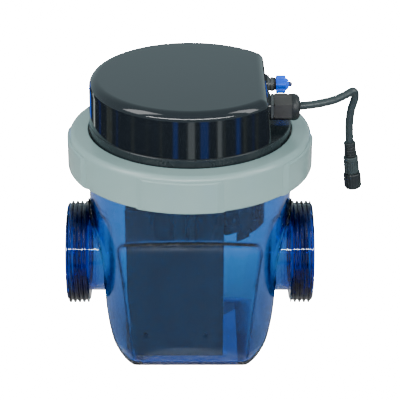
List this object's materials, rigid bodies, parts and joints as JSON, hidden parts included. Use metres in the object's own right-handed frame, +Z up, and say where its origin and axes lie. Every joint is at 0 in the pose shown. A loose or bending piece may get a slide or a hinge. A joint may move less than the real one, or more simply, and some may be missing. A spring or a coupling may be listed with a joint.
{
  "type": "salt water chlorinator cell",
  "caption": "Inline salt-water chlorinator cell: clear blue tank with two union ports, a head held by a screw ring carrying electrode plates, a cable with plug, and a bleed knob.",
  "frame": {"origin": "middle of the tank's flat base", "axes": "+X along the ports towards the cable gland, +Y to the back, +Z up through the head"},
  "size_m": [0.2319, 0.1874, 0.2268],
  "materials": {
    "tank_blue": "clear gloss",
    "ring_grey": "satin",
    "matt_black": "matt",
    "gloss_black": "gloss",
    "titanium": "satin, dark coated",
    "stud_titanium": "satin",
    "holder_black": "satin",
    "gland_grey": "satin",
    "seal_rubber": "matt",
    "washer_white": "satin",
    "resin": "gloss",
    "steel": "satin",
    "brass_tinned": "satin",
    "cable_jacket": "satin",
    "lead_jacket": "satin",
    "plug_black": "satin",
    "knob_blue": "satin",
    "stem_blue": "satin",
    "hose_clear": "clear"
  },
  "bodies": {
    "housing": {"housing": "tank_blue"},
    "head": {"head_base": "matt_black", "cover": "gloss_black", "cover_gasket": "seal_rubber", "slip_washer": "washer_white", "head_oring": "seal_rubber", "anode_plates": "titanium", "cathode_plates": "titanium", "anode_bus": "stud_titanium", "cathode_bus": "stud_titanium", "anode_stud": "stud_titanium", "cathode_stud": "stud_titanium", "spacer_rods": "holder_black", "plate_spacers": "holder_black", "electrode_holder": "holder_black", "terminal_nuts": "steel", "terminal_lugs": "brass_tinned", "potting": "resin", "leads": "lead_jacket", "gland_body": "gland_grey", "gland_oring": "seal_rubber", "gland_locknut": "gland_grey", "gland_seal": "seal_rubber", "cable": "cable_jacket", "connector_relief": "plug_black", "connector_body": "plug_black", "connector_insert": "plug_black", "connector_seal": "seal_rubber", "bleed_body": "gland_grey", "bleed_oring": "seal_rubber", "bleed_locknut": "gland_grey", "bleed_tube": "hose_clear"},
    "ring": {"locking_ring": "ring_grey"},
    "gland_nut": {"gland_nut": "gland_grey"},
    "plug_ring": {"connector_nut": "plug_black"},
    "bleed_stem": {"bleed_stem": "stem_blue"},
    "bleed_knob": {"bleed_knob": "knob_blue"}
  },
  "joints": [
    {"name": "head_lift", "type": "slide", "parent": "housing", "child": "head", "axis": [0, 0, 1], "range_m": [0, 0.01201]},
    {"name": "ring_turn", "type": "hinge", "parent": "head", "child": "ring", "pos_m": [0, 0, 0.17], "axis": [0, 0, 1], "range_deg": [0, 720]},
    {"name": "gland_turn", "type": "hinge", "parent": "head", "child": "gland_nut", "pos_m": [0.071, -0.008, 0.2042], "axis": [1, 0, 0], "range_deg": [0, 360]},
    {"name": "plug_ring_turn", "type": "hinge", "parent": "head", "child": "plug_ring", "pos_m": [0.12385, 0.006, 0.169], "axis": [0.1132, 0, -0.9936], "continuous": true},
    {"name": "bleed_travel", "type": "slide", "parent": "head", "child": "bleed_stem", "axis": [1, 0, 0], "range_m": [0, 0.0015]},
    {"name": "bleed_turn", "type": "hinge", "parent": "bleed_stem", "child": "bleed_knob", "pos_m": [0.072, 0.03, 0.2075], "axis": [1, 0, 0], "range_deg": [0, 543]}
  ],
  "couplings": [
    {"joint": "head_lift", "follows": "ring_turn", "m_per_rad": 0.00095493},
    {"joint": "bleed_turn", "follows": "bleed_travel", "rad_per_m": 6283.2}
  ]
}
